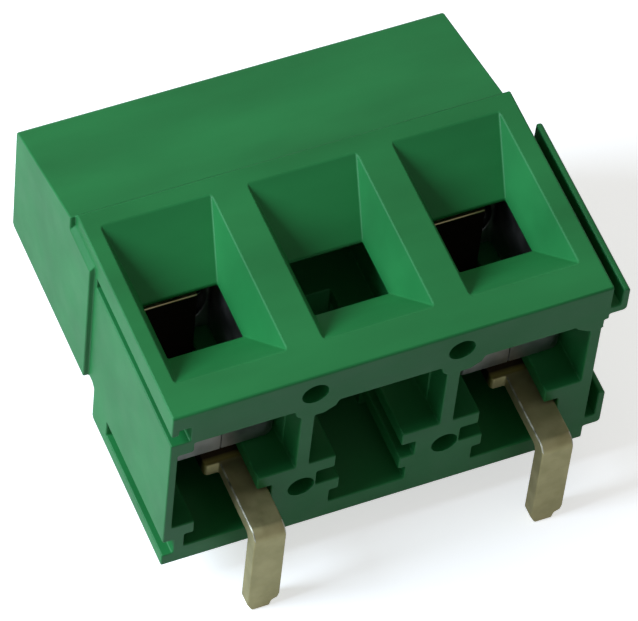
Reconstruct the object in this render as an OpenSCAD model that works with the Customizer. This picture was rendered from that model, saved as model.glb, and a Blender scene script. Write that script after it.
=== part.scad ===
// PCB screw terminal: three-cell moulded block, two cells fitted with a
// rising-cage clamp, wires in from above, screws from behind, angled
// solder pins in front.
//
// Row frame, millimetres: +Z up (the way the wires enter), +Y towards the
// screw heads, +X along the row. The origin lies midway between the two
// solder legs, in the plane of the flat foot.

/* [Block] */
// Distance from one cell to the next
cell_pitch = 5.0; // [4.8:0.02:5.2]
// Height of the funnel face above the foot
top_height = 8.3; // [8.1:0.1:9]
// Depth of the block, open face to screw face
block_depth = 13.1; // [12.9:0.1:14.5]
// Length of the level funnel face, measured back from the open face
funnel_face_depth = 8.35; // [8.1:0.05:9]
// Height of the sloping roof where it meets the screw face
back_height = 6.85; // [6.75:0.05:7.6]
// Length of the foot, measured back from the open face
foot_depth = 6.15; // [6.1:0.05:7]
// Height of the underside behind the foot
foot_step = 1.75; // [1:0.05:1.8]
// Sideways lap of the funnel block over its neighbour
side_lap = 0.2; // [0.1:0.05:0.25]
// Rise of the funnel block above the sloping roof
roof_ridge = 0.12; // [0:0.02:0.3]
// Chamfer of the moulded outer edges
edge_break = 0.12; // [0.05:0.01:0.2]

/* [Cells] */
// Thickness of a dividing wall at the open face
wall_thickness = 0.47; // [0.4:0.01:0.6]
// Thickness of the floor over the board
floor_thickness = 0.8; // [0.6:0.05:1]
// Height of the lip's underside
lip_underside = 6.6; // [6.55:0.01:6.65]
// Underside of the rails that hold the contact strip down
rail_underside = 2.78; // [2.75:0.01:2.85]
// Thickness of those rails
rail_thickness = 0.62; // [0.5:0.01:0.64]
// Top of the ledges that carry the contact strip
ledge_top = 2.05; // [2:0.01:2.06]
// Thickness of those ledges where they stand clear of the floor
ledge_thickness = 0.6; // [0.5:0.05:0.8]
// Depth of the wide mouth of each cell
mouth_depth = 1.05; // [0.9:0.05:1.3]
// Depth of the pocket in which the cage rises
pocket_depth = 9.75; // [9.72:0.01:9.78]
// Play of the cage in its pocket, each side
cage_play = 0.05; // [0.03:0.01:0.1]

/* [Funnels] */
// Width of a funnel at the top
funnel_width = 3.77; // [3.6:0.01:3.9]
// Length of a funnel at the top
funnel_length = 6.4; // [6.2:0.05:6.6]
// Distance of the funnel from the open face at the top
funnel_front = 1.26; // [1.1:0.02:1.5]
// Width of the throat
throat_width = 2.57; // [2.4:0.01:2.7]
// Length of the throat
throat_length = 2.2; // [2:0.05:2.4]
// Distance of the throat from the open face
throat_front = 3.18; // [3:0.02:3.4]

/* [Screw] */
// Outside diameter of the screw thread
screw_diameter = 2.5; // [2.5:0.1:2.6]
// Advance of the cage for one turn of the screw
screw_pitch = 0.45; // [0.4:0.05:0.5]
// Turns from fully open to fully closed
screw_turns = 6; // [4:1:6]
// Diameter of the screw head
head_diameter = 3.2; // [3.0:0.05:3.3]
// Thickness of the screw head
head_thickness = 1.5; // [1.2:0.05:1.7]
// Width of the screwdriver slot
slot_width = 0.6; // [0.5:0.05:0.8]
// Depth of the screwdriver slot
slot_depth = 0.75; // [0.5:0.05:0.9]
// Running clearance round the screw shank, on the radius
shank_clearance = 0.04; // [0.02:0.01:0.08]
// Clearance of the screw head in its bore, on the radius
head_clearance = 0.06; // [0.03:0.01:0.1]
// Thickness of the shoulder that the head pulls on
shoulder_thickness = 0.6; // [0.5:0.05:0.7]

/* [Cage] */
// Outside width of the cage
cage_width = 3.8; // [3.7:0.02:3.84]
// Height of the cage, along the wire
cage_height = 3.04; // [2.95:0.01:3.06]
// Thickness of the cage's side walls
cage_side = 0.5; // [0.45:0.01:0.55]
// Thickness of the wall that lifts the wire
cage_front_wall = 0.7; // [0.6:0.05:0.8]
// Thickness of the tapped wall
cage_back_wall = 0.9; // [0.85:0.01:0.92]
// Length of the cage's window
cage_window = 3.95; // [3.93:0.01:3.98]

/* [Contact] */
// Thickness of the contact strip
strip_thickness = 0.55; // [0.5:0.01:0.58]
// Width of the strip between the ledges
strip_width = 3.25; // [3.1:0.01:3.28]
// Width of the tongue inside the cage
tongue_width = 2.0; // [1.8:0.01:2.02]
// Width of the shoulder beside the solder pin
shoulder_width = 0.5; // [0.3:0.05:0.8]
// Length of that shoulder, back to the full width of the strip
shoulder_length = 1.3; // [0.8:0.05:2]
// Width of the solder pin
pin_width = 1.1; // [0.9:0.01:1.12]
// Reach of the solder pin in front of the open face
pin_reach = 1.6; // [1.4:0.05:2]
// Length of the solder leg below the foot
leg_length = 1.7; // [1.4:0.05:4]
// Radius inside the strip's bends
bend_radius = 0.2; // [0.1:0.01:0.25]
// Radius outside the coined bend of the solder pin
pin_bend_outer = 0.4; // [0.2:0.05:0.6]
// Breadth of the chamfers at the tip of the leg
tip_chamfer = 0.16; // [0.05:0.01:0.25]

/* [Side rails] */
// Reach of a hook beside the block
hook_reach = 0.6; // [0.5:0.01:0.65]
// Play of a hook in its neighbour's groove
hook_play = 0.06; // [0.03:0.01:0.1]

/* [Hidden] */
cells = 3;
fitted = [0, 2];
block_width = cells * cell_pitch;
cage_axis_x = 2.63;                       // from the cell's own left side
cage_bottom = rail_underside + rail_thickness + cage_play;
axis_z = cage_bottom + cage_height / 2;
cage_front = 1.45;
cage_travel = screw_pitch * screw_turns;
cage_length = cage_front_wall + cage_window + cage_back_wall;
wall_right = cell_pitch + 0.1;            // face of a dividing wall, next cell
wall_left = wall_right - wall_thickness;
shoulder_y = pocket_depth + shoulder_thickness;
tongue_back = cage_front + cage_front_wall + cage_window - 0.1;
tongue_front = tongue_back - strip_thickness;
strip_z = ledge_top + 0.04;
strip_left = 0.5;
pin_left = strip_left + strip_width - pin_width;
pin_mid_x = pin_left + pin_width / 2;
slot_left = 0.42;
slot_right = strip_left + strip_width + 0.1;
tongue_left = slot_right - 0.55 - tongue_width;
row_mid_x = pin_mid_x + cell_pitch * (cells - 1) / 2;
leg_mid_y = -pin_reach + strip_thickness / 2;
core_r = 0.48;
e = 0.01;
green = [0.12, 0.48, 0.27];
tin = [0.72, 0.72, 0.66];
steel = [0.62, 0.63, 0.65];
zinc = [0.78, 0.79, 0.8];
$fn = 48;

// Moves the block's own frame (left end, open face, foot) to the row frame.
module row() translate([-row_mid_x, -leg_mid_y, 0]) children();

// A box from one corner to the other.
module span(a, b) translate(a) cube([b[0] - a[0], b[1] - a[1], b[2] - a[2]]);

// Extrudes a (y, z) profile along X.
module along_x(x0, x1)
    translate([x0, 0, 0]) rotate([90, 0, 90]) linear_extrude(x1 - x0) children();

// Extrudes an (x, z) profile along +Y.
module along_y(y0, y1)
    translate([0, y1, 0]) rotate([90, 0, 0]) linear_extrude(y1 - y0) children();

// A rectangle with rounded corners, built from squares and circles.
module soft_square(w, l, r) {
    translate([r, 0]) square([w - 2 * r, l]);
    translate([0, r]) square([w, l - 2 * r]);
    for (p = [[r, r], [w - r, r], [r, l - r], [w - r, l - r]])
        translate(p) circle(r = r, $fn = 24);
}

// The block seen from its end: foot, step, screw tower and sloping roof.
module end_profile() {
    b = edge_break;
    polygon([[0, 0], [foot_depth - b, 0], [foot_depth, b],
             [foot_depth, foot_step - 0.15], [foot_depth + 0.15, foot_step],
             [block_depth - b, foot_step], [block_depth, foot_step + b],
             [block_depth, back_height - b], [block_depth - b, back_height],
             [funnel_face_depth + e, top_height - roof_ridge],
             [0, top_height - roof_ridge]]);
}

// The funnel block laps over to the right and stands a little proud.
module funnel_block() {
    b = edge_break;
    along_x(side_lap, block_width + side_lap)
        polygon([[0, lip_underside], [funnel_face_depth, lip_underside],
                 [funnel_face_depth, top_height - b / 2],
                 [funnel_face_depth - b / 2, top_height],
                 [b / 2, top_height], [0, top_height - b / 2]]);
}

// Room on the left for the neighbour's funnel block and hooks.
module left_relief() {
    span([-1, -1, -1], [side_lap, foot_depth + 0.45, top_height + 1]);
    along_y(-1, funnel_face_depth)
        polygon([[-1, top_height + 1], [side_lap, top_height + 1],
                 [side_lap, top_height - 0.55], [0, top_height - 0.75],
                 [-1, top_height - 0.75]]);
}

// One moulded hook: a web with an upturned lip, seen from the open face.
module hook_profile(x, z, web, lip) {
    polygon([[x - 0.3, z], [x + hook_reach - 0.1, z], [x + hook_reach, z + 0.1],
             [x + hook_reach, z + lip - 0.1], [x + hook_reach - 0.08, z + lip],
             [x + hook_reach - 0.24, z + lip], [x + hook_reach - 0.26, z + web],
             [x - 0.3, z + web]]);
}

// The slot in which the neighbour's hook slides.
module groove_profile(z, web, lip) {
    p = hook_play;
    polygon([[-1, z - p], [side_lap + hook_reach + p, z - p],
             [side_lap + hook_reach + p, z + lip + p],
             [side_lap + hook_reach - 0.28 - p, z + lip + p],
             [side_lap + hook_reach - 0.28 - p, z + web + p],
             [-1, z + web + p]]);
}

upper_hook = [6.85, 0.36, 0.62];          // height, web, groove height
lower_hook = [0.62, 0.5, 0.62];

module hooks() {
    along_y(0, 7) hook_profile(block_width + side_lap, upper_hook[0], upper_hook[1], 1.15);
    along_y(0, 5.2) hook_profile(block_width, lower_hook[0], lower_hook[1], 1.75);
}

module grooves() {
    along_y(-1, 6.45) groove_profile(upper_hook[0], upper_hook[1], upper_hook[2]);
    along_y(-1, 4.95) translate([-0.28, 0])
        groove_profile(lower_hook[0], lower_hook[1], lower_hook[2]);
}

// A cell as it opens at the front: mouth, pocket, strip slot and relief.
module cell_space(k) {
    x = k * cell_pitch;
    left = k == 0 ? 0.48 : x + 0.1;
    right = k == cells - 1 ? block_width - 0.4 : x + wall_left;
    pocket_l = x + cage_axis_x - cage_width / 2 - cage_play;
    pocket_r = x + cage_axis_x + cage_width / 2 + cage_play;
    rail_top = rail_underside + rail_thickness;
    // wide mouth above the rails
    span([left, -1, rail_top], [right, mouth_depth, lip_underside]);
    // pocket of the cage
    span([pocket_l, -1, rail_top], [pocket_r, pocket_depth, lip_underside]);
    // gap between the rails
    span([k == 0 ? left : x + 1.04, -1, ledge_top], [x + slot_right - 0.5, tongue_back + 0.1, rail_top + e]);
    // slot of the contact strip
    span([x + slot_left + (k == 0 ? 0.06 : 0), -1, ledge_top],
         [x + slot_right, tongue_back + 0.05, rail_underside]);
    // relief under the strip, wider beneath the ledges
    span([x + 1.26, -1, floor_thickness], [x + slot_right - 0.5, foot_depth - 0.55, ledge_top + e]);
    span([x + 0.95, -1, floor_thickness], [x + slot_right - 0.25, 3.2, ledge_top - ledge_thickness]);
}

// Flared wire entry, from the funnel face down to the throat.
module funnel(k) {
    x = k * cell_pitch + cage_axis_x;
    hull() {
        span([x - funnel_width / 2, funnel_front, top_height],
             [x + funnel_width / 2, funnel_front + funnel_length, top_height + 0.02]);
        span([x - throat_width / 2, throat_front, lip_underside + 0.15],
             [x + throat_width / 2, throat_front + throat_length, lip_underside + 0.17]);
    }
    span([x - throat_width / 2, throat_front, lip_underside - 0.5],
         [x + throat_width / 2, throat_front + throat_length, lip_underside + 0.16]);
}

// Bore for the screw: shank hole, head recess and lead-in.
module screw_bore(k) {
    translate([k * cell_pitch + cage_axis_x, 0, axis_z]) rotate([-90, 0, 0]) {
        translate([0, 0, pocket_depth - 1])
            cylinder(r = screw_diameter / 2 + shank_clearance, h = 2);
        translate([0, 0, shoulder_y])
            cylinder(r = head_diameter / 2 + head_clearance, h = 5);
        translate([0, 0, block_depth - 0.07])
            cylinder(r1 = head_diameter / 2 + head_clearance,
                     r2 = head_diameter / 2 + head_clearance + 0.08, h = 0.08);
    }
}

// Bosses round the core holes at each dividing wall, seen from the front.
module wall_boss(k) {
    x = (k + 1) * cell_pitch - 0.13;
    along_y(0, mouth_depth)
        polygon([[x - 0.55, lip_underside + 0.3], [x - 0.4, 6.3], [x - 0.2, 6.12],
                 [x + 0.55, 6.12], [x + 0.95, 6.35], [x + 1.18, lip_underside + 0.3]]);
}

module core_holes(k) {
    x = (k + 1) * cell_pitch + 0.03;
    for (p = [[x, 7.35], [x - 0.13, 2.2]])
        translate([p[0], -1, p[1]]) rotate([-90, 0, 0])
            cylinder(r1 = core_r, r2 = core_r * 0.8, h = 4.5, $fn = 32);
}

// Corner blocks that close the upper groove and the lip's right end.
module lip_corners() {
    along_y(0, mouth_depth)
        polygon([[side_lap, lip_underside + 0.2], [side_lap, 6.12], [0.95, 6.12],
                 [1.02, 6.2], [1.02, lip_underside + 0.2]]);
    along_y(0, mouth_depth)
        polygon([[block_width + 0.05, lip_underside + 0.2], [block_width + 0.05, 6.2],
                 [14.5, 6.2], [14.15, 6.45], [13.9, lip_underside + 0.2]]);
}

module housing() color(green) row() {
    difference() {
        union() {
            difference() {
                along_x(0, block_width) end_profile();
                for (k = [0 : cells - 1]) cell_space(k);
            }
            difference() {
                funnel_block();
                span([-1, -1, 0], [block_width - 0.4, block_depth, lip_underside]);
            }
            for (k = [0 : cells - 2]) wall_boss(k);
            lip_corners();
            hooks();
        }
        left_relief();
        grooves();
        for (k = [0 : cells - 2]) core_holes(k);
        for (k = [0 : cells - 1]) {
            funnel(k);
            screw_bore(k);
        }
    }
}

// Bent strip in side view: leg, run over the floor and tongue.
module strip_path(y0, y1, tongue) {
    t = strip_thickness;
    r = bend_radius;
    z = strip_z;
    difference() {
        union() {
            translate([y0, z]) square([y1 - y0, t]);
            if (tongue) translate([tongue_front, z]) square([t, lip_underside - 0.3 - z]);
        }
        if (tongue) difference() {
            translate([tongue_back - r - t, z - e]) square([r + t + e, r + t + e]);
            translate([tongue_back - r - t, z + r + t]) circle(r = r + t);
        }
    }
    if (tongue) difference() {
        translate([tongue_front - r, z + t - e]) square([r + e, r + e]);
        translate([tongue_front - r, z + t + r]) circle(r = r);
    }
}

// The leg bends down from the run in front of the open face.
module leg_path() {
    t = strip_thickness;
    r = bend_radius;
    ro = pin_bend_outer;
    z = strip_z;
    difference() {
        union() {
            translate([-pin_reach, z]) square([pin_reach + 2, t]);
            translate([-pin_reach, -leg_length]) square([t, z + t + leg_length]);
        }
        difference() {
            translate([-pin_reach - e, z + t - ro]) square([ro + e, ro + e]);
            translate([-pin_reach + ro, z + t - ro]) circle(r = ro);
        }
    }
    difference() {
        translate([-pin_reach + t - e, z - r]) square([r + e, r + e]);
        translate([-pin_reach + t + r, z - r]) circle(r = r);
    }
}

// Strip outline seen from above, with the shoulder beside the pin.
module strip_plan() {
    wide_y = cage_front + shoulder_length;
    polygon([[strip_left, wide_y], [pin_left - shoulder_width, wide_y],
             [pin_left - shoulder_width, cage_front + 0.1],
             [pin_left - shoulder_width + 0.1, cage_front],
             [pin_left, cage_front], [pin_left, -pin_reach - 1],
             [pin_left + pin_width, -pin_reach - 1],
             [pin_left + pin_width, tongue_front - 0.4],
             [tongue_left + tongue_width, tongue_front - 0.1],
             [tongue_left + tongue_width, tongue_back + 1],
             [tongue_left, tongue_back + 1], [tongue_left, tongue_front - 0.1],
             [strip_left, tongue_front - 0.6]]);
}

// Sheared tip of the leg seen from the front.
module leg_face() {
    x0 = pin_left;
    x1 = pin_left + pin_width;
    c = tip_chamfer;
    polygon([[x0 - 1, 10], [strip_left - 1, 10], [strip_left - 1, 1.2], [x0, 1.2],
             [x0, -leg_length + 2.2 * c], [x0 + c, -leg_length],
             [x1 - 2 * c, -leg_length], [x1 - 1.6 * c, -leg_length + 1.6 * c],
             [x1 - 0.3 * c, -leg_length + 2.2 * c], [x1, -leg_length + 3.4 * c], [x1, 1.2],
             [x1 + 1, 1.2], [x1 + 1, 10]]);
}

module contact(k) color(tin) row() translate([k * cell_pitch, 0, 0])
    intersection() {
        along_x(0, 5) {
            strip_path(cage_front, tongue_back, true);
            leg_path();
        }
        translate([0, 0, -5]) linear_extrude(20) strip_plan();
        along_y(-5, 15) leg_face();
    }

// Cage bent from thick strip: a loop round the wire with a tapped back wall.
module cage(k) color(steel) row()
    translate([k * cell_pitch + cage_axis_x, cage_front, cage_bottom])
    difference() {
        linear_extrude(cage_height) difference() {
            translate([-cage_width / 2, 0]) soft_square(cage_width, cage_length, 0.4);
            translate([-cage_width / 2 + cage_side, cage_front_wall])
                soft_square(cage_width - 2 * cage_side, cage_window, 0.15);
        }
        // tapped hole
        translate([0, cage_length + 1, cage_height / 2]) rotate([90, 0, 0])
            cylinder(r = screw_diameter / 2 + 0.03, h = cage_back_wall + 1.5);
    }

// Clamp screw: slotted cheese head on a shank with a chamfered end.
module screw(k) color(zinc) row()
    translate([k * cell_pitch + cage_axis_x, 0, axis_z]) rotate([-90, 0, 0]) {
        tip = tongue_back + 0.12;
        head = shoulder_y + 0.02;
        r = screw_diameter / 2;
        difference() {
            rotate_extrude() polygon([[0, tip], [r - 0.3, tip], [r, tip + 0.3],
                [r, head], [head_diameter / 2 - 0.08, head],
                [head_diameter / 2, head + 0.08],
                [head_diameter / 2, head + head_thickness - 0.2],
                [head_diameter / 2 - 0.2, head + head_thickness],
                [0, head + head_thickness]]);
            translate([-3, -slot_width / 2, head + head_thickness - slot_depth])
                cube([6, slot_width, 2]);
        }
    }

module left_contact() contact(fitted[0]);
module right_contact() contact(fitted[1]);
module left_cage() cage(fitted[0]);
module right_cage() cage(fitted[1]);
module left_screw() screw(fitted[0]);
module right_screw() screw(fitted[1]);

housing();
left_contact();
right_contact();
left_cage();
right_cage();
left_screw();
right_screw();
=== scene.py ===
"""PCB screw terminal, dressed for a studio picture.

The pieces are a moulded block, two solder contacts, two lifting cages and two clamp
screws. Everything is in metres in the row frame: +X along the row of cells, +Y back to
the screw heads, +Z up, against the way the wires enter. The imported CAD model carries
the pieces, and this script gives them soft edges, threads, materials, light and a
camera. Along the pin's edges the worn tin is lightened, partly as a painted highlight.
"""

import logging
import math
from dataclasses import dataclass
from enum import Enum
from typing import Callable

import bmesh
import bpy
from mathutils import Matrix, Vector

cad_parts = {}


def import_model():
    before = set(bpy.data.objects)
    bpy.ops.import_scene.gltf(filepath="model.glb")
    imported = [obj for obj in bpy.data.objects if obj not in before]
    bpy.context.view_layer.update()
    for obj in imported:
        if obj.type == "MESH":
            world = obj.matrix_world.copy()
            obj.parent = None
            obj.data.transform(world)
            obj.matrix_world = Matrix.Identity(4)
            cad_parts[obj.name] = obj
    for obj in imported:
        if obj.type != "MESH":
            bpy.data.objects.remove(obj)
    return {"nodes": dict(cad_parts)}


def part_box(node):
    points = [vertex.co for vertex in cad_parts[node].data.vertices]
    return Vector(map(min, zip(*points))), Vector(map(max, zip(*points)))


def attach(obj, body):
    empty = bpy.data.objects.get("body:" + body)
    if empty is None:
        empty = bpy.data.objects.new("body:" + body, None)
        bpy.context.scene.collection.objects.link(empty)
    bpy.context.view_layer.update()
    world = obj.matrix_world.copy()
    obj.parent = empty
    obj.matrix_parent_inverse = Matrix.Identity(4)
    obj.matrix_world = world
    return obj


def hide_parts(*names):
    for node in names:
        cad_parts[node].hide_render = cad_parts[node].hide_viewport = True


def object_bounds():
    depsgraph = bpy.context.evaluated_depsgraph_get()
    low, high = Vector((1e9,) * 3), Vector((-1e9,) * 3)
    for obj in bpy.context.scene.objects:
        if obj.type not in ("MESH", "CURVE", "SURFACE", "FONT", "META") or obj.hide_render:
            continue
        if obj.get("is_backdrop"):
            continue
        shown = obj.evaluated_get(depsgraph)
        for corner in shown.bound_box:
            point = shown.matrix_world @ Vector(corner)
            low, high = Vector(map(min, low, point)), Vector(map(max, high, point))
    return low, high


LOG = logging.getLogger("terminal")
MM = 0.001
CELL_PITCH = 5.0 * MM
CELLS = 3
WALLS = 2

# Points closer than this are one point, repeated for each face that meets there.
SAME_POINT = 0.0005 * MM
SEAM_SNAP = 0.001 * MM
# Steps and ledges in the solids that are thinner than this would crease a rounded edge.
NEAR_POINT = 0.021 * MM
FLAT_ANGLE = math.radians(1.0)
SHARP_ANGLE = math.radians(25.0)
SMOOTH_ANGLE = math.radians(40.0)
TURNED_SMOOTH_ANGLE = math.radians(35.0)
EDGE_SEGMENTS = 3
FLAT_FACE_WEIGHT = 100

MARK_STRENGTH = 0.3
MARK_DEPTH = 0.006 * MM
METAL_GLOSS_REACH = 0.1


class Side(Enum):
    """The two fitted cells, by the names that their CAD nodes start with."""

    LEFT = "left"
    RIGHT = "right"


# ---------------------------------------------------------------- colours and nodes


def srgb(code: str) -> tuple[float, float, float, float]:
    """Turns an sRGB hex colour to linear RGBA.

    Args:
        code: six hex digits, such as "2d783e".

    Returns:
        Linear red, green, blue and an alpha of 1.
    """
    channels = [int(code[i : i + 2], 16) / 255 for i in (0, 2, 4)]
    linear = [
        c / 12.92 if c <= 0.04045 else ((c + 0.055) / 1.055) ** 2.4 for c in channels
    ]
    return (linear[0], linear[1], linear[2], 1.0)


def per_metre(size_mm: float) -> float:
    """Scale of a noise texture whose blotches are about size_mm across."""
    return 1.0 / (size_mm * MM)


def add_node(
    tree: bpy.types.NodeTree,
    kind: str,
    settings: dict | None = None,
    inputs: dict | None = None,
) -> bpy.types.Node:
    """Adds a node with its settings, and its inputs as values or links.

    Args:
        tree: the node tree that gets the node.
        kind: Blender's name of the node type.
        settings: attributes of the node.
        inputs: socket name or index to a value, or to another node's output socket.

    Returns:
        The new node.
    """
    node = tree.nodes.new(kind)
    for name, value in (settings or {}).items():
        setattr(node, name, value)
    for name, value in (inputs or {}).items():
        if isinstance(value, bpy.types.NodeSocket):
            tree.links.new(value, node.inputs[name])
        else:
            node.inputs[name].default_value = value
    return node


def ramp(
    tree: bpy.types.NodeTree,
    factor: bpy.types.NodeSocket,
    stops: list[tuple[float, str]],
) -> bpy.types.NodeSocket:
    """Adds a colour ramp.

    Args:
        tree: the node tree.
        factor: the socket that drives the ramp.
        stops: places from 0 to 1 with their sRGB colours.

    Returns:
        The colour output.
    """
    node = add_node(tree, "ShaderNodeValToRGB", inputs={"Fac": factor})
    elements = node.color_ramp.elements
    while len(elements) < len(stops):
        elements.new(0.5)
    for element, (place, code) in zip(elements, stops):
        element.position = place
        element.color = srgb(code)
    return node.outputs["Color"]


def new_material(name: str) -> tuple[bpy.types.Material, bpy.types.NodeTree]:
    """Makes an empty node material.

    Args:
        name: the finish that the material stands for.

    Returns:
        The material and its cleared node tree.
    """
    material = bpy.data.materials.new(name)
    material.use_nodes = True
    material.node_tree.nodes.clear()
    return material, material.node_tree


def noise(
    tree: bpy.types.NodeTree,
    place: bpy.types.NodeSocket,
    size_mm: float,
    detail: float,
) -> bpy.types.NodeSocket:
    """Adds a noise whose blotches have a real size.

    Args:
        tree: the node tree.
        place: the coordinates.
        size_mm: distance from one blotch to the next, in millimetres.
        detail: how many finer layers it has.

    Returns:
        The noise's value.
    """
    return add_node(
        tree,
        "ShaderNodeTexNoise",
        inputs={"Vector": place, "Scale": per_metre(size_mm), "Detail": detail},
    ).outputs["Fac"]


def spread(
    tree: bpy.types.NodeTree,
    value: bpy.types.NodeSocket,
    middle: float,
    reach: float,
) -> bpy.types.NodeSocket:
    """Maps a noise to middle, less and more by reach.

    Args:
        tree: the node tree.
        value: the noise.
        middle: the value at the noise's middle.
        reach: how far the result goes each way.

    Returns:
        The mapped value.
    """
    return add_node(
        tree,
        "ShaderNodeMapRange",
        inputs={"Value": value, "To Min": middle - reach, "To Max": middle + reach},
    ).outputs["Result"]


def finish_metal(
    tree: bpy.types.NodeTree,
    colour: bpy.types.NodeSocket,
    clouds: bpy.types.NodeSocket,
    roughness: float,
    marks: bpy.types.NodeSocket,
    under: bpy.types.NodeSocket | None = None,
) -> None:
    """Adds a metal shader with uneven gloss and shallow marks, and the output.

    Args:
        tree: the node tree.
        colour: the metal's colour.
        clouds: the noise that varies the gloss.
        roughness: the middle of the roughness.
        marks: the noise that gives the marks.
        under: a coarser bump that the marks lie on.
    """
    heights = {"Height": marks, "Strength": MARK_STRENGTH, "Distance": MARK_DEPTH}
    if under is not None:
        heights["Normal"] = under
    bump = add_node(tree, "ShaderNodeBump", inputs=heights).outputs["Normal"]
    shader = add_node(
        tree,
        "ShaderNodeBsdfPrincipled",
        inputs={
            "Base Color": colour,
            "Metallic": 1.0,
            "Roughness": spread(tree, clouds, roughness, METAL_GLOSS_REACH),
            "Normal": bump,
        },
    ).outputs["BSDF"]
    add_node(tree, "ShaderNodeOutputMaterial", inputs={"Surface": shader})


# ---------------------------------------------------------------- finishes


@dataclass(frozen=True)
class MouldedPA66:
    """Polyamide 66, injection moulded in a spark-eroded tool.

    The eye gets a dense green with a satin, slightly uneven skin, faint clouds of
    pigment drawn along the block as the plastic flowed, and a fine grain that breaks
    the gloss.
    """

    base: str = "1a7338"
    cloud_light: str = "207c3e"
    cloud_dark: str = "156a32"
    roughness: float = 0.54
    ior: float = 1.53
    grain_mm: float = 0.09
    cloud_mm: float = 2.6
    wave_mm: float = 1.1
    specular: float = 0.31
    flow: tuple[float, float, float] = (0.35, 1.0, 1.0)
    wave_strength: float = 0.12
    wave_depth: float = 0.02 * MM
    grain_strength: float = 0.25
    grain_depth: float = 0.004 * MM
    gloss_reach: float = 0.07

    def build(self) -> bpy.types.Material:
        """Builds the material.

        Returns:
            The finished material.
        """
        material, tree = new_material("moulded_PA66_green")
        place = add_node(tree, "ShaderNodeTexCoord").outputs["Object"]
        stretched = add_node(
            tree, "ShaderNodeMapping", inputs={"Vector": place, "Scale": self.flow}
        ).outputs["Vector"]
        clouds = noise(tree, stretched, self.cloud_mm, detail=5.0)
        colour = ramp(
            tree,
            clouds,
            [(0.3, self.cloud_dark), (0.5, self.base), (0.72, self.cloud_light)],
        )
        grain = noise(tree, place, self.grain_mm, detail=2.0)
        uneven = noise(tree, place, self.wave_mm, detail=3.0)
        waves = add_node(
            tree,
            "ShaderNodeBump",
            inputs={
                "Height": uneven,
                "Strength": self.wave_strength,
                "Distance": self.wave_depth,
            },
        ).outputs["Normal"]
        skin = add_node(
            tree,
            "ShaderNodeBump",
            inputs={
                "Height": grain,
                "Strength": self.grain_strength,
                "Distance": self.grain_depth,
                "Normal": waves,
            },
        ).outputs["Normal"]
        shader = add_node(
            tree,
            "ShaderNodeBsdfPrincipled",
            inputs={
                "Base Color": colour,
                "Roughness": spread(tree, uneven, self.roughness, self.gloss_reach),
                "Normal": skin,
                "IOR": self.ior,
                "Specular IOR Level": self.specular,
            },
        ).outputs["BSDF"]
        add_node(tree, "ShaderNodeOutputMaterial", inputs={"Surface": shader})
        return material


@dataclass(frozen=True)
class TinnedBrass:
    """Brass strip, stamped, bent and hot-dip tinned.

    The eye gets a dull silver with an olive cast and soft blotches where the tin ran,
    fine lines from rolling, and a yellow tint far back along the strip where the tin is
    thin. Deep inside the block the tongue is painted near-black, a painted shade.
    """

    tin_light: str = "a9a178"
    tin_dark: str = "989168"
    brass: str = "8a8248"
    # Painted shade: near-black colour on the strip deep inside the block, where shade
    # falls.
    painted_inner_shade: str = "2b241a"
    roughness: float = 0.6
    wave_mm: float = 0.55
    blotch_mm: float = 0.7
    line_mm: float = 0.05
    bare_y: tuple[float, float] = (2.78 * MM, 2.86 * MM)
    # Depth along Y over which the painted shade on the deep strip fades in.
    painted_shade_y: tuple[float, float] = (2.92 * MM, 3.1 * MM)
    rolling: tuple[float, float, float] = (1.0, 0.08, 0.08)
    wave_strength: float = 0.6
    wave_depth: float = 0.05 * MM

    def build(self) -> bpy.types.Material:
        """Builds the material.

        Returns:
            The finished material.
        """
        material, tree = new_material("tinned_brass")
        place = add_node(tree, "ShaderNodeTexCoord").outputs["Object"]
        blotches = noise(tree, place, self.blotch_mm, detail=4.0)
        tin = ramp(tree, blotches, [(0.35, self.tin_dark), (0.65, self.tin_light)])
        parts = add_node(
            tree, "ShaderNodeSeparateXYZ", inputs={"Vector": place}
        ).outputs
        colour = tin
        # Brass tint where the tin is thin, then the painted shade deep inside the block.
        for code, (start, end) in (
            (self.brass, self.bare_y),
            (self.painted_inner_shade, self.painted_shade_y),
        ):
            factor = add_node(
                tree,
                "ShaderNodeMapRange",
                inputs={"Value": parts["Y"], "From Min": start, "From Max": end},
            ).outputs["Result"]
            colour = add_node(
                tree,
                "ShaderNodeMix",
                {"data_type": "RGBA"},
                {"Factor": factor, 6: colour, 7: srgb(code)},
            ).outputs[2]
        rolled = add_node(
            tree, "ShaderNodeMapping", inputs={"Vector": place, "Scale": self.rolling}
        ).outputs["Vector"]
        lines = noise(tree, rolled, self.line_mm, detail=3.0)
        runs = noise(tree, place, self.wave_mm, detail=1.0)
        waves = add_node(
            tree,
            "ShaderNodeBump",
            inputs={
                "Height": runs,
                "Strength": self.wave_strength,
                "Distance": self.wave_depth,
            },
        ).outputs["Normal"]
        finish_metal(tree, colour, blotches, self.roughness, lines, waves)
        return material


@dataclass(frozen=True)
class DrawnMetal:
    """Pressed, cut or turned metal, bare or with a thin electroplated coat.

    The eye gets a smooth metal with faint clouds in the coat, and fine marks left by
    the press, the shear or the lathe, drawn out along one axis.
    """

    name: str
    light: str
    dark: str
    roughness: float
    drawn: tuple[float, float, float]
    cloud_mm: float = 1.0
    mark_mm: float = 0.05

    def build(self) -> bpy.types.Material:
        """Builds the material.

        Returns:
            The finished material.
        """
        material, tree = new_material(self.name)
        place = add_node(tree, "ShaderNodeTexCoord").outputs["Object"]
        clouds = noise(tree, place, self.cloud_mm, detail=4.0)
        colour = ramp(tree, clouds, [(0.35, self.dark), (0.65, self.light)])
        drawn = add_node(
            tree, "ShaderNodeMapping", inputs={"Vector": place, "Scale": self.drawn}
        ).outputs["Vector"]
        marks = noise(tree, drawn, self.mark_mm, detail=3.0)
        finish_metal(tree, colour, clouds, self.roughness, marks)
        return material


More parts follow.
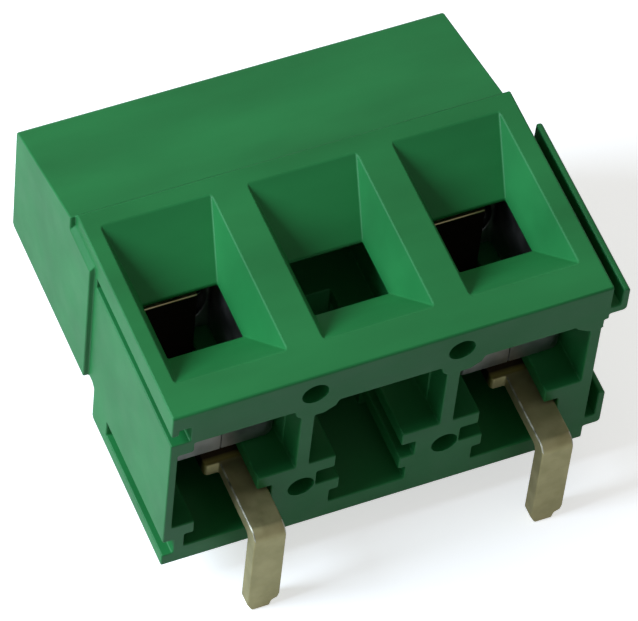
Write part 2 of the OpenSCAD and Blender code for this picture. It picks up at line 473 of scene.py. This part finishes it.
# ---------------------------------------------------------------- mesh tools


def deselect_all() -> None:
    """Leaves edit mode and clears the selection."""
    if bpy.context.mode != "OBJECT":
        bpy.ops.object.mode_set(mode="OBJECT")
    bpy.ops.object.select_all(action="DESELECT")


def make_active(obj: bpy.types.Object) -> None:
    """Selects one object alone and makes it active."""
    deselect_all()
    obj.select_set(True)
    bpy.context.view_layer.objects.active = obj


def copy_of_node(
    node: bpy.types.Object,
    name: str,
    seams: list[tuple[Vector, Vector]] | None = None,
) -> bpy.types.Object:
    """Copies a CAD node's mesh into a new object with merged points and clean faces.

    Each flat face with a hole in it is first cut by a plane through the hole, so that
    no dissolved face runs round a hole.

    Args:
        node: the CAD node.
        name: the new piece's name.
        seams: planes of the cuts, each as a point and a normal.

    Returns:
        The new object, at the origin.
    """
    mesh = node.data.copy()
    mesh.materials.clear()
    obj = bpy.data.objects.new(name, mesh)
    bpy.context.scene.collection.objects.link(obj)
    make_active(obj)
    bpy.ops.object.mode_set(mode="EDIT")
    bpy.ops.mesh.select_all(action="SELECT")
    bpy.ops.mesh.customdata_custom_splitnormals_clear()
    bpy.ops.mesh.remove_doubles(threshold=SAME_POINT)
    for point, normal in seams or []:
        bpy.ops.mesh.select_all(action="SELECT")
        bpy.ops.mesh.bisect(plane_co=point, plane_no=normal, threshold=SEAM_SNAP)
        bpy.ops.mesh.mark_seam()
    bpy.ops.mesh.select_all(action="SELECT")
    bpy.ops.mesh.remove_doubles(threshold=NEAR_POINT)
    bpy.ops.mesh.dissolve_limited(angle_limit=FLAT_ANGLE, delimit={"SEAM"})
    bpy.ops.object.mode_set(mode="OBJECT")
    return obj


def settle(obj: bpy.types.Object) -> None:
    """Moves an object's place, turn and scale into its mesh."""
    make_active(obj)
    bpy.ops.object.transform_apply(location=True, rotation=True, scale=True)


def select_faces(obj: bpy.types.Object, test: Callable[[Vector, Vector], bool]) -> None:
    """In edit mode, selects the faces that pass a test and nothing else.

    Args:
        obj: the object in edit mode.
        test: takes a face's centre and normal.
    """
    bpy.ops.mesh.select_mode(type="FACE")
    bpy.ops.mesh.select_all(action="DESELECT")
    edit = bmesh.from_edit_mesh(obj.data)
    for face in edit.faces:
        face.select_set(test(face.calc_center_median(), face.normal))
    bmesh.update_edit_mesh(obj.data)


def select_points(obj: bpy.types.Object, test: Callable[[Vector], bool]) -> None:
    """In edit mode, selects the points that pass a test and nothing else.

    Args:
        obj: the object in edit mode.
        test: takes a point's place in the mesh.
    """
    bpy.ops.mesh.select_mode(type="VERT")
    bpy.ops.mesh.select_all(action="DESELECT")
    edit = bmesh.from_edit_mesh(obj.data)
    for point in edit.verts:
        point.select_set(test(point.co))
    bmesh.update_edit_mesh(obj.data)


def box_blank(name: str, centre: Vector, size: Vector) -> bpy.types.Object:
    """Adds a box of a size at a place, as a cutter.

    Args:
        name: its name.
        centre: its centre.
        size: its lengths along X, Y and Z.

    Returns:
        The box, with its place in its mesh.
    """
    deselect_all()
    bpy.ops.mesh.primitive_cube_add(size=1.0, location=centre, scale=size)
    box = bpy.context.active_object
    box.name = name
    settle(box)
    return box


def cut_away(obj: bpy.types.Object, cutter: bpy.types.Object) -> None:
    """Cuts one solid out of another and deletes the cutter.

    Args:
        obj: the solid that stays.
        cutter: the solid that is cut out.
    """
    make_active(obj)
    cut = obj.modifiers.new("cut", "BOOLEAN")
    cut.operation = "DIFFERENCE"
    cut.solver = "EXACT"
    cut.object = cutter
    bpy.ops.object.modifier_apply(modifier=cut.name)
    bpy.data.objects.remove(cutter)


def soften(
    obj: bpy.types.Object,
    width: float,
    keep_crisp: Callable[[Vector], bool] = lambda centre: False,
) -> None:
    """Rounds an object's sharp edges and keeps its flat faces flat to the eye.

    Args:
        obj: the object.
        width: the rounding's width in metres.
        keep_crisp: takes an edge's middle and says whether the edge stays sharp.
    """
    make_active(obj)
    bpy.ops.object.mode_set(mode="EDIT")
    bpy.ops.mesh.select_mode(type="EDGE")
    bpy.ops.mesh.select_all(action="DESELECT")
    bpy.ops.mesh.edges_select_sharp(sharpness=SHARP_ANGLE)
    edit = bmesh.from_edit_mesh(obj.data)
    for edge in edit.edges:
        if edge.select and keep_crisp((edge.verts[0].co + edge.verts[1].co) / 2):
            edge.select_set(False)
    bmesh.update_edit_mesh(obj.data)
    bpy.ops.mesh.bevel(
        offset=width,
        segments=EDGE_SEGMENTS,
        affect="EDGES",
        clamp_overlap=False,
        miter_outer="ARC",
    )
    bpy.ops.object.mode_set(mode="OBJECT")
    bpy.ops.object.shade_smooth_by_angle(angle=SMOOTH_ANGLE)
    weigh = obj.modifiers.new("flat_faces", "WEIGHTED_NORMAL")
    weigh.mode = "FACE_AREA"
    weigh.weight = FLAT_FACE_WEIGHT
    weigh.keep_sharp = True
    bpy.ops.object.modifier_apply(modifier=weigh.name)


def dress(
    obj: bpy.types.Object, material: bpy.types.Material, body: str
) -> None:
    """Gives a piece its material and its body.

    Args:
        obj: the piece.
        material: its finish.
        body: the CAD body that it rides on.
    """
    obj.data.materials.clear()
    obj.data.materials.append(material)
    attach(obj, body)
    LOG.info("%s: %d faces on %s", obj.name, len(obj.data.polygons), body)


# ---------------------------------------------------------------- the terminal


@dataclass
class MouldedBlock:
    """The green housing with its rounded moulded edges."""

    node: bpy.types.Object
    cell: Vector
    upper_core: Vector = Vector((2.4, 0.0, 7.35)) * MM
    lower_core: Vector = Vector((2.265, 0.0, 2.2)) * MM
    edge_radius: float = 0.055 * MM
    bore_radius: float = 1.74 * MM
    core_radius: float = 0.49 * MM
    back_band: float = 0.01 * MM

    def __post_init__(self) -> None:
        """Takes the back face's place from the CAD housing."""
        self.back_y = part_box(self.node.name)[1].y

    def seams(self) -> list[tuple[Vector, Vector]]:
        """Planes through each funnel, and through each pair of core holes in a wall.

        Returns:
            Points and normals.
        """
        planes = [
            (
                Vector((self.cell.x + k * CELL_PITCH, 0.0, 0.0)),
                Vector((1.0, 0.0, 0.0)),
            )
            for k in range(CELLS)
        ]
        across = (self.upper_core - self.lower_core).cross(Vector((0.0, 1.0, 0.0)))
        for k in range(WALLS):
            start = Vector((self.cell.x + k * CELL_PITCH, 0.0, 0.0))
            planes.append((start + self.upper_core, across.normalized()))
        return planes

    def on_hole_rim(self, place: Vector) -> bool:
        """Whether a place lies on the rim of a screw bore or a core hole.

        Args:
            place: the middle of an edge.

        Returns:
            True on a rim, which stays crisp.
        """
        if place.y > self.back_y - self.back_band:
            holes = [(self.cell.x + k * CELL_PITCH, self.cell.z) for k in range(CELLS)]
            reach = self.bore_radius
        else:
            holes = [
                (self.cell.x + k * CELL_PITCH + core.x, core.z)
                for core in (self.upper_core, self.lower_core)
                for k in range(WALLS)
            ]
            reach = self.core_radius
        return min(math.hypot(place.x - x, place.z - z) for x, z in holes) < reach

    def build(self, finish: bpy.types.Material) -> bpy.types.Object:
        """Builds and dresses the block.

        Args:
            finish: the moulded plastic.

        Returns:
            The block.
        """
        block = copy_of_node(self.node, "moulded_block", self.seams())
        soften(block, self.edge_radius, self.on_hole_rim)
        dress(block, finish, "block")
        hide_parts("housing")
        return block


@dataclass
class SolderContact:
    """Contact strip with its angled solder pin and edges worn round by tinning."""

    node: bpy.types.Object
    side: Side
    edge_radius: float = 0.05 * MM
    run_end_y: float = 2.7 * MM
    slant: float = 0.25

    def build(
        self,
        finish: bpy.types.Material,
        sheared: bpy.types.Material,
        worn_edge_and_highlight: bpy.types.Material,
    ) -> bpy.types.Object:
        """Builds and dresses the contact.

        Args:
            finish: the tinned brass.
            sheared: the bright cut edge along the top of the tongue.
            worn_edge_and_highlight: worn tin along both edges of the pin's level run,
            lightened partly as a painted highlight.

        Returns:
            The contact.
        """
        contact = copy_of_node(self.node, f"{self.side.value}_solder_contact")
        soften(contact, self.edge_radius)
        dress(contact, finish, "block")
        contact.data.materials.append(sheared)
        contact.data.materials.append(worn_edge_and_highlight)
        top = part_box(self.node.name)[1].z - self.edge_radius
        # Top faces get the sheared brass; slanted edge faces of the level run get the worn
        # tin, partly a painted highlight.
        for face in contact.data.polygons:
            slanted = min(abs(face.normal.x), face.normal.z) > self.slant
            if face.center.z > top:
                face.material_index = 1
            elif slanted and 0.0 < face.center.z and face.center.y < self.run_end_y:
                face.material_index = 2
        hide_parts(self.node.name)
        return contact


@dataclass
class LiftingCage:
    """Cage that the screw draws back, bent from thick strip, with a seam in front."""

    node: bpy.types.Object
    side: Side
    axis_x: float
    edge_radius: float = 0.06 * MM
    seam_width: float = 0.05 * MM
    seam_depth: float = 0.12 * MM

    def build(self, finish: bpy.types.Material) -> bpy.types.Object:
        """Builds and dresses the cage.

        Args:
            finish: the plated steel.

        Returns:
            The cage.
        """
        middle_plane = (Vector((self.axis_x, 0.0, 0.0)), Vector((1.0, 0.0, 0.0)))
        name = f"{self.side.value}_lifting_cage"
        cage = copy_of_node(self.node, name, [middle_plane])
        soften(cage, self.edge_radius)
        low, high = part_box(self.node.name)
        middle = (low + high) / 2
        seam = box_blank(
            "seam_cutter",
            Vector((middle.x, low.y, middle.z)),
            Vector((self.seam_width, 2 * self.seam_depth, 2 * (high.z - low.z))),
        )
        cut_away(cage, seam)
        body = f"{self.side.value}_cage"
        dress(cage, finish, body)
        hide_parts(self.node.name)
        return cage


@dataclass
class ClampScrew:
    """Slotted cheese-head screw with a rolled thread, its head at the back."""

    node: bpy.types.Object
    side: Side
    head_thickness: float = 1.5 * MM
    thread_radius: float = 1.24 * MM
    core_radius: float = 0.98 * MM
    pitch: float = 0.45 * MM
    crest_share: float = 0.25
    slot_width: float = 0.6 * MM
    slot_depth: float = 0.75 * MM
    rim: float = 0.16 * MM
    dish_inset: float = 0.35 * MM
    dish_depth: float = 0.03 * MM
    under_head_edge: float = 0.06 * MM
    tip_chamfer: float = 0.25 * MM
    thread_start: float = 0.35 * MM
    head_overlap: float = 0.1 * MM
    root_overlap: float = 0.05 * MM
    base_share: float = 0.9
    sides: int = 64
    steps_per_turn: int = 32
    rim_segments: int = 4
    chamfer_segments: int = 2
    facing: float = 0.9
    square_on: float = 0.999

    def __post_init__(self) -> None:
        """Takes the axis and the ends from the CAD screw."""
        low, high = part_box(self.node.name)
        self.axis = Vector(((low.x + high.x) / 2, 0.0, (low.z + high.z) / 2))
        self.head_radius = (high.x - low.x) / 2
        self.tip_y = low.y
        self.end_y = high.y
        self.head_y = high.y - self.head_thickness

    def turned(
        self, name: str, radius: float, y0: float, y1: float
    ) -> bpy.types.Object:
        """Adds a round blank along the screw's axis.

        Args:
            name: the blank's name.
            radius: its radius.
            y0: its front end.
            y1: its back end.

        Returns:
            The blank, with its place in its mesh.
        """
        deselect_all()
        bpy.ops.mesh.primitive_cylinder_add(
            vertices=self.sides,
            radius=radius,
            depth=y1 - y0,
            location=(self.axis.x, (y0 + y1) / 2, self.axis.z),
            rotation=(math.pi / 2, 0.0, 0.0),
        )
        blank = bpy.context.active_object
        blank.name = name
        settle(blank)
        return blank

    def head(self) -> bpy.types.Object:
        """Makes the head, with a rounded rim, a shallow dish and the driver slot.

        Returns:
            The head.
        """
        head = self.turned("head", self.head_radius, self.head_y, self.end_y)
        make_active(head)
        bpy.ops.object.mode_set(mode="EDIT")
        select_faces(head, lambda centre, normal: normal.y > self.facing)
        bpy.ops.mesh.bevel(
            offset=self.rim, segments=self.rim_segments, affect="EDGES"
        )
        select_faces(head, lambda centre, normal: normal.y > self.square_on)
        bpy.ops.mesh.inset(thickness=self.dish_inset)
        bpy.ops.transform.translate(value=(0.0, -self.dish_depth, 0.0))
        select_faces(head, lambda centre, normal: normal.y < -self.facing)
        bpy.ops.mesh.bevel(
            offset=self.under_head_edge,
            segments=self.chamfer_segments,
            affect="EDGES",
        )
        bpy.ops.object.mode_set(mode="OBJECT")
        slot = box_blank(
            "slot_cutter",
            Vector((self.axis.x, self.end_y, self.axis.z)),
            Vector((4 * self.head_radius, 2 * self.slot_depth, self.slot_width)),
        )
        cut_away(head, slot)
        return head

    def shank(self) -> bpy.types.Object:
        """Makes the core of the shank with a chamfered tip.

        Returns:
            The core.
        """
        end = self.head_y + self.head_overlap
        core = self.turned("core", self.core_radius, self.tip_y, end)
        make_active(core)
        bpy.ops.object.mode_set(mode="EDIT")
        select_faces(core, lambda centre, normal: normal.y < -self.facing)
        bpy.ops.mesh.bevel(
            offset=self.tip_chamfer, segments=self.chamfer_segments, affect="EDGES"
        )
        bpy.ops.object.mode_set(mode="OBJECT")
        return core

    def thread(self) -> bpy.types.Object:
        """Winds the thread's ridge round the core as one helix with closed ends.

        Returns:
            The ridge.
        """
        start = self.tip_y + self.thread_start
        turns = int((self.head_y - self.head_overlap - start) / self.pitch)
        depth = self.thread_radius - self.core_radius + self.root_overlap
        deselect_all()
        bpy.ops.mesh.primitive_plane_add(
            size=1.0, location=(self.axis.x, start, self.axis.z)
        )
        ridge = bpy.context.active_object
        ridge.name = "thread"
        bpy.ops.object.mode_set(mode="EDIT")
        bpy.ops.mesh.select_all(action="SELECT")
        bpy.ops.transform.resize(value=(depth, self.base_share * self.pitch, 1.0))
        bpy.ops.transform.translate(value=(self.thread_radius - depth / 2, 0.0, 0.0))
        middle = self.thread_radius - depth / 2
        select_points(ridge, lambda place: place.x > middle)
        bpy.ops.transform.resize(value=(1.0, self.crest_share, 1.0))
        bpy.ops.mesh.select_all(action="SELECT")
        bpy.ops.mesh.delete(type="ONLY_FACE")
        bpy.ops.object.mode_set(mode="OBJECT")
        winding = ridge.modifiers.new("winding", "SCREW")
        winding.axis = "Y"
        winding.screw_offset = self.pitch
        winding.iterations = turns
        winding.steps = winding.render_steps = self.steps_per_turn
        winding.use_merge_vertices = False
        bpy.ops.object.modifier_apply(modifier=winding.name)
        bpy.ops.object.mode_set(mode="EDIT")
        bpy.ops.mesh.select_all(action="DESELECT")
        bpy.ops.mesh.select_mode(type="EDGE")
        bpy.ops.mesh.select_non_manifold()
        bpy.ops.mesh.edge_face_add()
        bpy.ops.mesh.select_all(action="SELECT")
        bpy.ops.mesh.normals_make_consistent(inside=False)
        bpy.ops.object.mode_set(mode="OBJECT")
        settle(ridge)
        return ridge

    def build(self, finish: bpy.types.Material) -> bpy.types.Object:
        """Builds and dresses the screw.

        Args:
            finish: the plated steel.

        Returns:
            The screw.
        """
        parts = [self.head(), self.shank(), self.thread()]
        deselect_all()
        for part in parts:
            part.select_set(True)
        bpy.context.view_layer.objects.active = parts[0]
        bpy.ops.object.join()
        screw = parts[0]
        screw.name = f"{self.side.value}_clamp_screw"
        bpy.ops.object.shade_smooth_by_angle(angle=TURNED_SMOOTH_ANGLE)
        dress(screw, finish, f"{self.side.value}_screw")
        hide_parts(self.node.name)
        return screw


# ---------------------------------------------------------------- studio


@dataclass
class Studio:
    """Floor, white surroundings, soft lamps and camera."""

    centre: Vector
    floor_z: float
    focal_mm: float = 315.0
    distance: float = 180.3 * MM
    azimuth_deg: float = -28.01
    elevation_deg: float = 54.4
    roll_deg: float = 6.9
    aim: tuple[float, float, float] = (-0.67 * MM, 6.48 * MM, 3.82 * MM)
    lift: float = 0.6
    gloss_lift: float = 0.22
    fill: float = 0.185
    gloss: float = 0.4
    card: str = "f6f6f4"
    bounce: str = "8a8a88"
    floor_size: float = 1.2
    lamp_distance: float = 0.15
    sensor_mm: float = 36.0
    clip: tuple[float, float] = (0.01, 5.0)

    def floor(self) -> bpy.types.Object:
        """Lays the pale floor, which takes the part's shadow and lights it little.

        Returns:
            The floor.
        """
        deselect_all()
        bpy.ops.mesh.primitive_plane_add(
            size=self.floor_size, location=(0, 0, self.floor_z)
        )
        floor = bpy.context.active_object
        floor.name = "floor"
        material, tree = new_material("matt_white_card")
        seen = self.seen(tree)
        card = add_node(
            tree, "ShaderNodeBsdfDiffuse", inputs={"Color": srgb(self.card)}
        ).outputs["BSDF"]
        eye = add_node(tree, "ShaderNodeLightPath").outputs["Is Camera Ray"]
        strength = add_node(
            tree,
            "ShaderNodeMapRange",
            inputs={"Value": eye, "To Min": self.gloss_lift, "To Max": self.lift},
        ).outputs["Result"]
        lift = add_node(
            tree,
            "ShaderNodeEmission",
            inputs={"Color": srgb("ffffff"), "Strength": strength},
        ).outputs["Emission"]
        bright = add_node(
            tree, "ShaderNodeAddShader", inputs={0: card, 1: lift}
        ).outputs["Shader"]
        grey = add_node(
            tree, "ShaderNodeBsdfDiffuse", inputs={"Color": srgb(self.bounce)}
        ).outputs["BSDF"]
        shader = add_node(
            tree, "ShaderNodeMixShader", inputs={0: seen, 1: grey, 2: bright}
        ).outputs["Shader"]
        add_node(tree, "ShaderNodeOutputMaterial", inputs={"Surface": shader})
        floor.data.materials.append(material)
        floor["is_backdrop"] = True
        return floor

    @staticmethod
    def seen(tree: bpy.types.NodeTree) -> bpy.types.NodeSocket:
        """Factor that is 1 for what the eye, gloss or glass sees, and 0 for soft light.

        Args:
            tree: the node tree of the floor or the world.

        Returns:
            The factor.
        """
        path = add_node(tree, "ShaderNodeLightPath").outputs
        eye_or_gloss = add_node(
            tree,
            "ShaderNodeMath",
            {"operation": "MAXIMUM"},
            {0: path["Is Camera Ray"], 1: path["Is Glossy Ray"]},
        ).outputs["Value"]
        return add_node(
            tree,
            "ShaderNodeMath",
            {"operation": "MAXIMUM"},
            {0: eye_or_gloss, 1: path["Is Transmission Ray"]},
        ).outputs["Value"]

    def world(self) -> None:
        """Fills the surroundings: white to the eye, dimmer to gloss and matt faces."""
        world = bpy.data.worlds.new("studio")
        bpy.context.scene.world = world
        world.use_nodes = True
        tree = world.node_tree
        tree.nodes.clear()
        seen = self.seen(tree)
        path = add_node(tree, "ShaderNodeLightPath").outputs
        strength = add_node(
            tree,
            "ShaderNodeMapRange",
            inputs={
                "Value": path["Is Glossy Ray"],
                "To Min": 1.0,
                "To Max": self.gloss,
            },
        ).outputs["Result"]
        white = add_node(
            tree,
            "ShaderNodeBackground",
            inputs={"Color": srgb("ffffff"), "Strength": strength},
        ).outputs["Background"]
        fill = add_node(
            tree,
            "ShaderNodeBackground",
            inputs={"Color": srgb("ffffff"), "Strength": self.fill},
        ).outputs["Background"]
        shader = add_node(
            tree, "ShaderNodeMixShader", inputs={0: seen, 1: fill, 2: white}
        ).outputs["Shader"]
        add_node(tree, "ShaderNodeOutputWorld", inputs={"Surface": shader})

    def lamp(
        self,
        name: str,
        azimuth: float,
        elevation: float,
        power: float,
        size: float,
        colour: str,
    ) -> bpy.types.Object:
        """Hangs one soft square lamp that faces the part.

        Args:
            name: the lamp's name.
            azimuth: degrees round the part, 0 in front and 90 on the right.
            elevation: height above the horizon in degrees.
            power: watts.
            size: edge length in metres.
            colour: the light's colour.

        Returns:
            The lamp.
        """
        data = bpy.data.lights.new(name, "AREA")
        data.energy = power
        data.size = size
        data.color = srgb(colour)[:3]
        lamp = bpy.data.objects.new(name, data)
        bpy.context.scene.collection.objects.link(lamp)
        outward = direction(azimuth, elevation)
        lamp.location = self.centre + outward * self.lamp_distance
        lamp.rotation_mode = "QUATERNION"
        lamp.rotation_quaternion = (-outward).to_track_quat("-Z", "Y")
        return lamp

    def camera(self) -> bpy.types.Object:
        """Sets the camera: a long lens from above the open face, rolled a little.

        Returns:
            The camera.
        """
        data = bpy.data.cameras.new("camera")
        data.lens = self.focal_mm
        data.sensor_width = self.sensor_mm
        data.clip_start, data.clip_end = self.clip
        camera = bpy.data.objects.new("camera", data)
        bpy.context.scene.collection.objects.link(camera)
        outward = direction(self.azimuth_deg, self.elevation_deg)
        level = (-outward).to_track_quat("-Z", "Y").to_matrix()
        roll = Matrix.Rotation(math.radians(self.roll_deg), 3, outward)
        camera.matrix_world = Matrix.Translation(
            Vector(self.aim) + outward * self.distance
        ) @ (roll @ level).to_4x4()
        bpy.context.scene.camera = camera
        return camera


def direction(azimuth: float, elevation: float) -> Vector:
    """Unit vector from the part outwards.

    Args:
        azimuth: degrees, 0 in front of the open face and 90 on the right.
        elevation: degrees above the horizon.

    Returns:
        The direction.
    """
    a, e = math.radians(azimuth), math.radians(elevation)
    return Vector((math.sin(a) * math.cos(e), -math.cos(a) * math.cos(e), math.sin(e)))


def main() -> None:
    """Builds the terminal, the studio and the camera in order."""
    logging.basicConfig(level=logging.INFO, format="%(name)s %(message)s")
    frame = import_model()
    cad_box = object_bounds()
    nodes = frame["nodes"]

    plastic = MouldedPA66().build()
    tinned = TinnedBrass().build()
    sheared_brass = DrawnMetal(
        "sheared_brass", "d8c69c", "b39f72", roughness=0.35, drawn=(1.0, 0.1, 1.0)
    ).build()
    # Worn tin for the pin's edges; its light colour is partly a painted highlight.
    worn_tin_and_painted_highlight = DrawnMetal(
        "worn_tin_and_painted_highlight",
        "cccab8",
        "74725f",
        roughness=0.6,
        drawn=(1.0, 1.0, 1.0),
        cloud_mm=0.3,
    ).build()
    cage_steel = DrawnMetal(
        "nickel_plated_steel", "b4b3b0", "8f8e8b", roughness=0.38, drawn=(0.1, 1.0, 1.0)
    ).build()
    screw_steel = DrawnMetal(
        "zinc_plated_steel", "b4b7b8", "8f9294", roughness=0.32, drawn=(1.0, 6.0, 1.0)
    ).build()

    low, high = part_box("left_screw")
    cell = (low + high) / 2
    MouldedBlock(nodes["housing"], cell).build(plastic)
    for k, side in enumerate(Side):
        cell_x = cell.x + 2 * k * CELL_PITCH
        SolderContact(nodes[f"{side.value}_contact"], side).build(
            tinned, sheared_brass, worn_tin_and_painted_highlight
        )
        LiftingCage(nodes[f"{side.value}_cage"], side, cell_x).build(cage_steel)
        ClampScrew(nodes[f"{side.value}_screw"], side).build(screw_steel)

    low, high = cad_box
    studio = Studio(centre=(low + high) / 2, floor_z=low.z)
    studio.floor()
    studio.world()
    studio.lamp(
        "left_softbox",
        azimuth=-100.0,
        elevation=36.0,
        power=0.33,
        size=0.08,
        colour="dcecff",
    )
    studio.lamp(
        "top_softbox",
        azimuth=165.0,
        elevation=52.0,
        power=0.022,
        size=0.12,
        colour="fff4e0",
    )
    studio.camera()

    scene = bpy.context.scene
    scene.view_settings.view_transform = "Standard"


if __name__ == "__main__":
    main()
